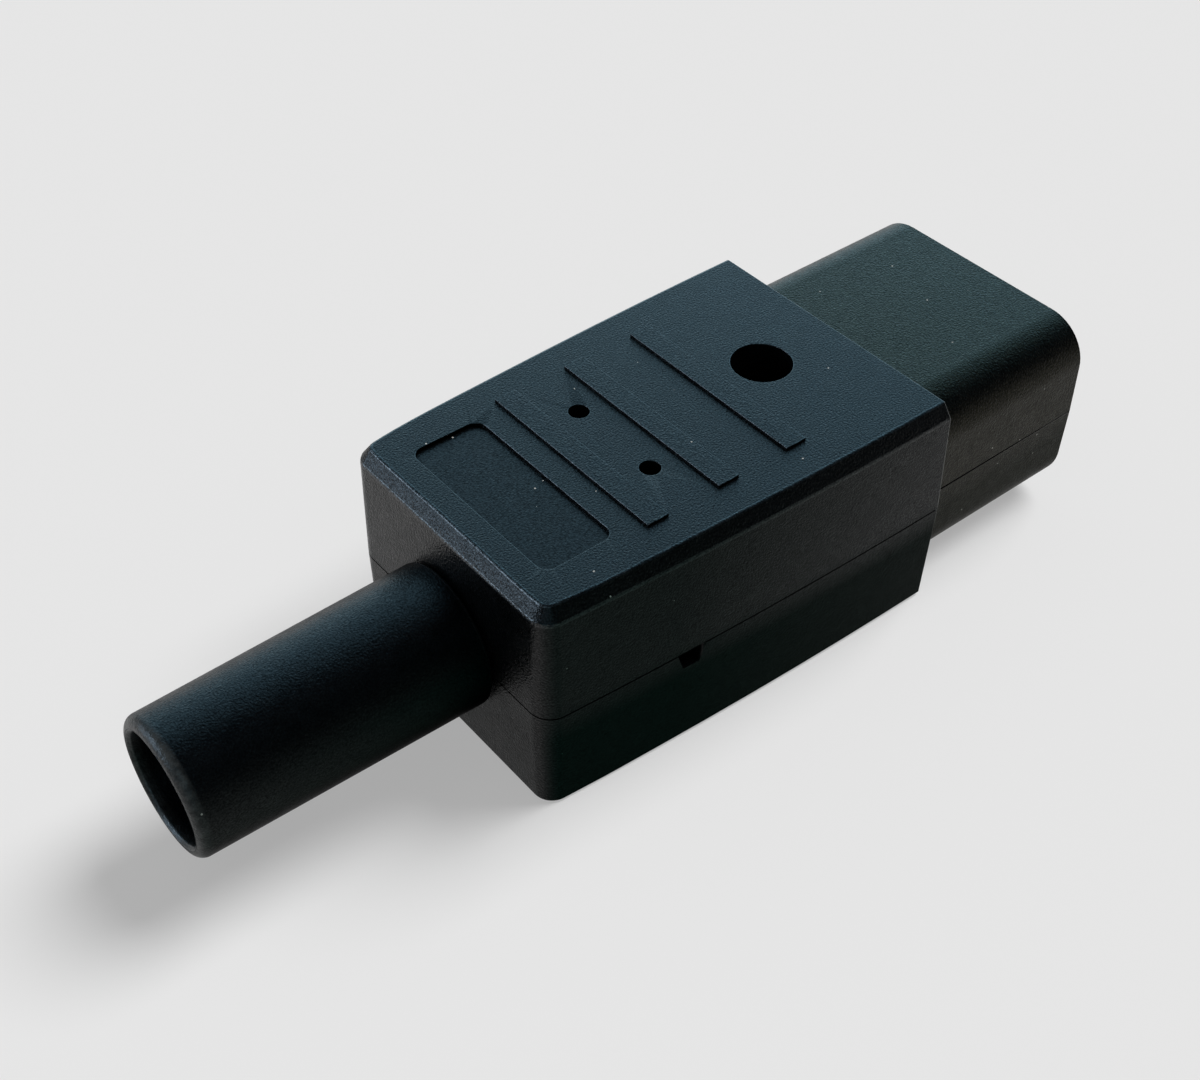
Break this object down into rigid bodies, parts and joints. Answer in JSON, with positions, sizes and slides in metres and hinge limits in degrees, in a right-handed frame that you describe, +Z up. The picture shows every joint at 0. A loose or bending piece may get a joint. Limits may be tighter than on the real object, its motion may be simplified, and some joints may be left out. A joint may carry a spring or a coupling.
{
  "type": "in-line socket",
  "caption": "Rewireable in-line appliance socket: two-part moulded housing with a rounded rectangular nose, three blade slots, screw terminals, cord clamp and a tapered cable boot.",
  "frame": {"origin": "middle of the overall length, on the centre line, at the level of the housing's underside", "axes": "+X along the cable axis towards the mating nose, +Z up through the side with the screw well, +Y to the left when looking along +X"},
  "size_m": [0.0966, 0.032, 0.0244],
  "materials": {
    "housing_plastic": "fine spark-eroded grain",
    "boot_plastic": "satin, smooth",
    "carrier_plastic": "fine grain",
    "clamp_plastic": "satin",
    "contact_brass": "stamped",
    "terminal_brass": "machined",
    "spring_steel": "rolled",
    "screw_steel": "zinc plated"
  },
  "bodies": {
    "root": {"upper_housing": "housing_plastic", "lower_housing": "housing_plastic", "contact_carrier": "carrier_plastic", "cable_boot": "boot_plastic", "cord_clamp": "clamp_plastic", "clamp_screw_left": "screw_steel", "clamp_screw_right": "screw_steel", "housing_screw": "screw_steel", "housing_nut": "screw_steel", "line_contact": "contact_brass", "line_spring": "spring_steel", "line_terminal": "terminal_brass", "line_terminal_screw": "screw_steel", "neutral_contact": "contact_brass", "neutral_spring": "spring_steel", "neutral_terminal": "terminal_brass", "neutral_terminal_screw": "screw_steel", "earth_contact": "contact_brass", "earth_spring": "spring_steel", "earth_terminal": "terminal_brass", "earth_terminal_screw": "screw_steel"}
  },
  "joints": []
}
